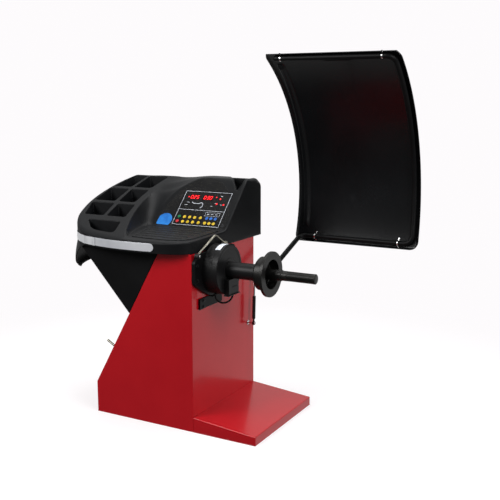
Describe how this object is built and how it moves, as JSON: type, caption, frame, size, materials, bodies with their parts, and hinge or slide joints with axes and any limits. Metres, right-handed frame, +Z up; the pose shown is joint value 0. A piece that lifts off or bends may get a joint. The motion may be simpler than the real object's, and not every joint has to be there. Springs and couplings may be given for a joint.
{
  "type": "wheel balancer machine",
  "caption": "Garage wheel balancer: sloping sheet cabinet, weight tray with slanted control panel, cupped flange on a threaded spindle, rim gauge and a swinging arched wheel hood.",
  "frame": {"origin": "on the floor, straight under the spindle axis, in the plane of the cabinet's right face", "axes": "+X out along the spindle, +Y to the back of the machine, +Z up"},
  "size_m": [1.3973, 0.9244, 1.5328],
  "materials": {
    "red_paint": "glossy red enamel",
    "black_paint": "satin black paint",
    "tray_plastic": "fine-grained black plastic",
    "strip_metal": "brushed",
    "panel_film": "black film with fine light specks",
    "display_window": "dark red window",
    "led_red": "lit red segments",
    "key_yellow": "domed film key",
    "key_blue": "domed film key",
    "key_green": "gloss",
    "key_red": "gloss",
    "badge_blue": "plain printed film",
    "circuit_board": "solder mask",
    "black_bolt": "blackened",
    "black_casting": "satin black",
    "label_white": "blank label",
    "box_plastic": "moulded",
    "cable_rubber": "matt",
    "bearing_steel": "ground",
    "black_steel": "blackened, machined",
    "aluminium": "cast",
    "copper_winding": "lacquered wire",
    "zinc": "zinc plated",
    "hood_plastic": "glossy thermoformed sheet",
    "chrome": "bright",
    "strut_black": "gloss black"
  },
  "bodies": {
    "root": {"base_plate": "red_paint", "cabinet_shell": "red_paint", "base_extension": "red_paint", "rear_panel": "black_paint", "tray_support": "black_paint", "accessory_pegs": "zinc", "weight_tray": "tray_plastic", "ledge_mat": "tray_plastic", "accent_strip": "strip_metal", "panel_overlay": "panel_film", "display_glass": "display_window", "led_digits": "led_red", "yellow_keys": "key_yellow", "blue_keys": "key_blue", "panel_badge": "badge_blue", "main_board": "circuit_board", "mounting_plate": "black_paint", "plate_bolts": "black_bolt", "drum_housing": "black_casting", "drum_cover": "black_casting", "drum_label": "label_white", "terminal_box": "box_plastic", "sensor_cable": "cable_rubber", "lower_bracket": "black_paint", "bracket_bolts": "black_bolt", "bearing_housing": "black_casting", "front_bearing": "bearing_steel", "rear_bearing": "bearing_steel", "encoder_reader": "box_plastic", "piezo_sensors": "bearing_steel", "drive_belt": "cable_rubber", "motor": "aluminium", "motor_bracket": "zinc", "power_board": "circuit_board", "transformer": "copper_winding", "gauge_bush": "box_plastic", "hood_bearing": "black_paint", "strut_stud": "chrome", "mains_inlet": "box_plastic"},
    "spindle": {"spindle_shaft": "black_steel", "hub_flange": "black_steel", "spindle_pulley": "aluminium", "encoder_disc": "aluminium"},
    "motor_rotor": {"motor_rotor": "bearing_steel"},
    "gauge_carriage": {"gauge_carriage": "box_plastic"},
    "gauge_arm": {"gauge_rod": "zinc", "gauge_arm": "zinc", "gauge_knob": "box_plastic"},
    "hood": {"hood_shaft": "zinc", "hood_crank": "black_paint", "hood_tube": "black_paint", "hood_shell": "hood_plastic", "hood_clips": "chrome"},
    "strut_cylinder": {"strut_cylinder": "strut_black"},
    "strut_rod": {"strut_rod": "chrome"},
    "start_button": {"start_button": "key_green"},
    "stop_button": {"stop_button": "key_red"},
    "power_switch": {"power_switch": "box_plastic"}
  },
  "joints": [
    {"name": "spindle_spin", "type": "hinge", "parent": "root", "child": "spindle", "pos_m": [0, 0, 0.6595], "axis": [1, 0, 0], "continuous": true},
    {"name": "motor_spin", "type": "hinge", "parent": "root", "child": "motor_rotor", "pos_m": [0, 0.12, 0.455], "axis": [1, 0, 0], "continuous": true},
    {"name": "gauge_slide", "type": "slide", "parent": "root", "child": "gauge_carriage", "axis": [1, 0, 0], "range_m": [0, 0.2], "stiffness_N_per_m": 20, "springref_m": -0.05},
    {"name": "gauge_swing", "type": "hinge", "parent": "gauge_carriage", "child": "gauge_arm", "pos_m": [0.022, 0.073, 0.75], "axis": [1, 0, 0], "range_deg": [-75, 0]},
    {"name": "hood_swing", "type": "hinge", "parent": "root", "child": "hood", "pos_m": [0.085, 0.334, 0.577], "axis": [1, 0, 0], "range_deg": [0, 60]},
    {"name": "strut_tilt", "type": "hinge", "parent": "root", "child": "strut_cylinder", "pos_m": [0.03, 0.307, 0.354], "axis": [1, 0, 0], "range_deg": [0, 4.6]},
    {"name": "strut_stroke", "type": "slide", "parent": "strut_cylinder", "child": "strut_rod", "axis": [0, 0.0397, 0.9992], "range_m": [-0.0281, 0]},
    {"name": "start_press", "type": "slide", "parent": "root", "child": "start_button", "axis": [0, 0.7254, -0.6884], "range_m": [0, 0.0013], "stiffness_N_per_m": 400, "springref_m": -0.0005},
    {"name": "stop_press", "type": "slide", "parent": "root", "child": "stop_button", "axis": [0, 0.7254, -0.6884], "range_m": [0, 0.0013], "stiffness_N_per_m": 400, "springref_m": -0.0005},
    {"name": "power_rock", "type": "hinge", "parent": "root", "child": "power_switch", "pos_m": [-0.2225, 0.352, 0.2335], "axis": [1, 0, 0], "range_deg": [0, 16]}
  ],
  "couplings": [
    {"joint": "motor_spin", "follows": "spindle_spin", "ratio": 3},
    {"joint": "strut_tilt", "follows": "hood_swing", "ratio": 0.0752},
    {"joint": "strut_stroke", "follows": "hood_swing", "m_per_rad": -0.02667}
  ]
}
